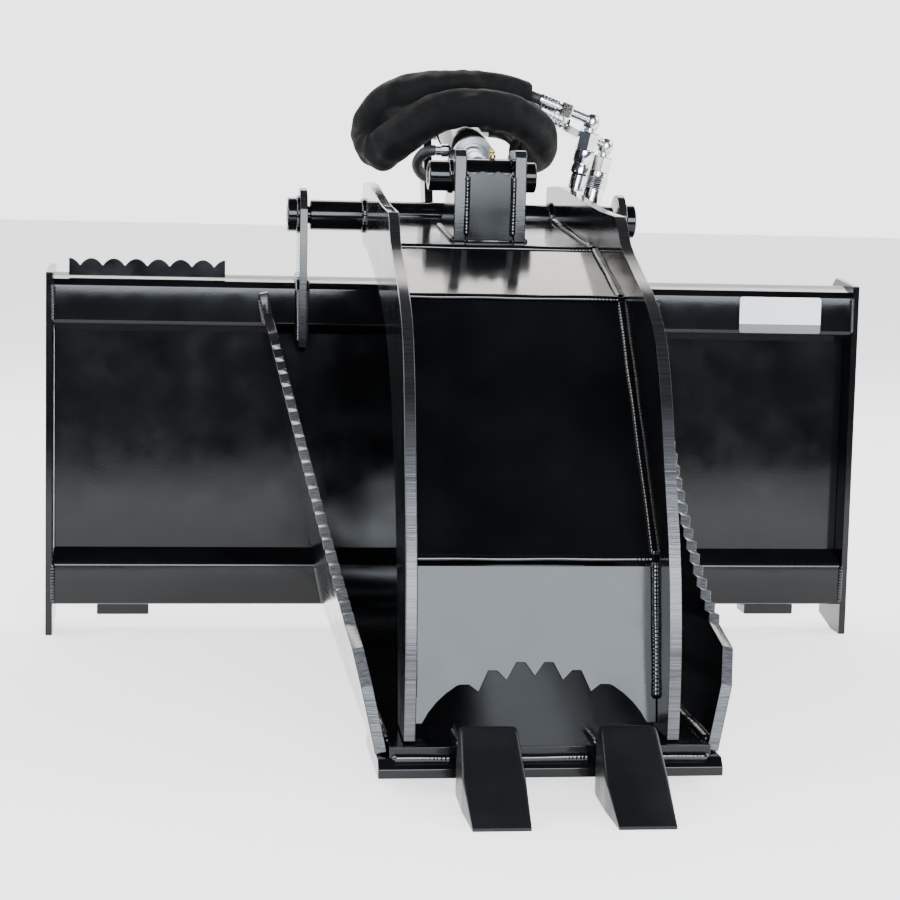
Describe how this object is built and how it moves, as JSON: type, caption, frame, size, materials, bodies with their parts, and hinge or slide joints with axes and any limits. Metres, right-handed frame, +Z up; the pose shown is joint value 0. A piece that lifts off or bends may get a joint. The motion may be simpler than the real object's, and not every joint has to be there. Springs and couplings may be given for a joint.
{
  "type": "skid steer stump grapple bucket",
  "caption": "Narrow black stump bucket with digging teeth, a hydraulic grapple lid, sleeved hoses and a universal skid steer quick-attach frame.",
  "frame": {"origin": "on the ground under the middle of the footprint", "axes": "+X across the machine to the bucket's left as seen from the loader seat, +Y back towards the loader, +Z up"},
  "size_m": [1.143, 1.174, 0.7938],
  "materials": {
    "black_paint": "gloss black powder coat over hot rolled plate",
    "bare_steel": "machined steel, lightly oiled",
    "chrome_rod": "hard chromed and ground",
    "zinc_plate": "bright zinc plated steel",
    "bright_plate": "polished nickel coloured plating",
    "brass": "turned brass",
    "bronze": "sintered bronze bearing",
    "woven_sleeve": "black woven nylon protection sleeve",
    "hose_rubber": "black hydraulic hose cover",
    "decal_film": "white self adhesive film, left blank"
  },
  "bodies": {
    "frame": {"face_panel": "black_paint", "top_hook_rail": "black_paint", "bottom_rail": "black_paint", "left_end_plate": "black_paint", "left_pin_pocket": "black_paint", "right_end_plate": "black_paint", "right_pin_pocket": "black_paint", "step_grip": "black_paint", "blank_decal": "decal_film", "floor_plate": "black_paint", "cutting_edge": "black_paint", "left_side_plate": "black_paint", "left_tooth_shank": "black_paint", "left_tooth": "black_paint", "left_tooth_pin": "bare_steel", "right_side_plate": "black_paint", "right_tooth_shank": "black_paint", "right_tooth": "black_paint", "right_tooth_pin": "bare_steel", "left_hinge_lug": "black_paint", "left_lug_boss": "black_paint", "right_hinge_lug": "black_paint", "right_lug_boss": "black_paint", "hinge_pin": "black_paint", "left_base_ear": "black_paint", "right_base_ear": "black_paint", "base_pin": "bare_steel"},
    "lid": {"left_hinge_bush": "bronze", "right_hinge_bush": "bronze", "hinge_tube": "black_paint", "left_lid_cheek": "black_paint", "right_lid_cheek": "black_paint", "lid_rear_panel": "black_paint", "lid_top_panel": "black_paint", "lid_front_panel": "black_paint", "lid_nose_panel": "black_paint", "left_lid_ear": "black_paint", "right_lid_ear": "black_paint", "lid_ear_web": "black_paint", "rod_pin": "bare_steel", "left_rod_pin_collar": "black_paint", "right_rod_pin_collar": "black_paint"},
    "barrel": {"cylinder_base_eye": "black_paint", "cylinder_barrel": "black_paint", "cylinder_gland": "bare_steel", "base_port_fitting": "zinc_plate", "rod_port_fitting": "zinc_plate", "hose_sleeve": "woven_sleeve", "base_side_hose": "hose_rubber", "rod_side_hose": "hose_rubber", "upper_hose_end": "zinc_plate", "lower_hose_end": "zinc_plate", "plug_coupler": "bright_plate", "socket_coupler": "bright_plate"},
    "rod": {"piston": "bare_steel", "piston_rod": "chrome_rod", "rod_eye": "black_paint", "rod_eye_grease_nipple": "brass"},
    "lock_ring": {"coupler_lock_ring": "zinc_plate"}
  },
  "joints": [
    {"name": "lid_hinge", "type": "hinge", "parent": "frame", "child": "lid", "pos_m": [0, 0.407, 0.588], "axis": [-1, 0, 0], "range_deg": [0, 45]},
    {"name": "barrel_hinge", "type": "hinge", "parent": "frame", "child": "barrel", "pos_m": [0, 0.557, 0.722], "axis": [-1, 0, 0], "range_deg": [0, 26]},
    {"name": "rod_slide", "type": "slide", "parent": "barrel", "child": "rod", "axis": [0, -0.9801, -0.1986], "range_m": [-0.103, 0]},
    {"name": "lock_ring_slide", "type": "slide", "parent": "barrel", "child": "lock_ring", "axis": [0.2397, -0.0228, 0.9706], "range_m": [0, 0.005], "stiffness_N_per_m": 600}
  ],
  "couplings": [
    {"joint": "barrel_hinge", "follows": "lid_hinge", "ratio": 0.573},
    {"joint": "rod_slide", "follows": "lid_hinge", "m_per_rad": -0.1307}
  ]
}
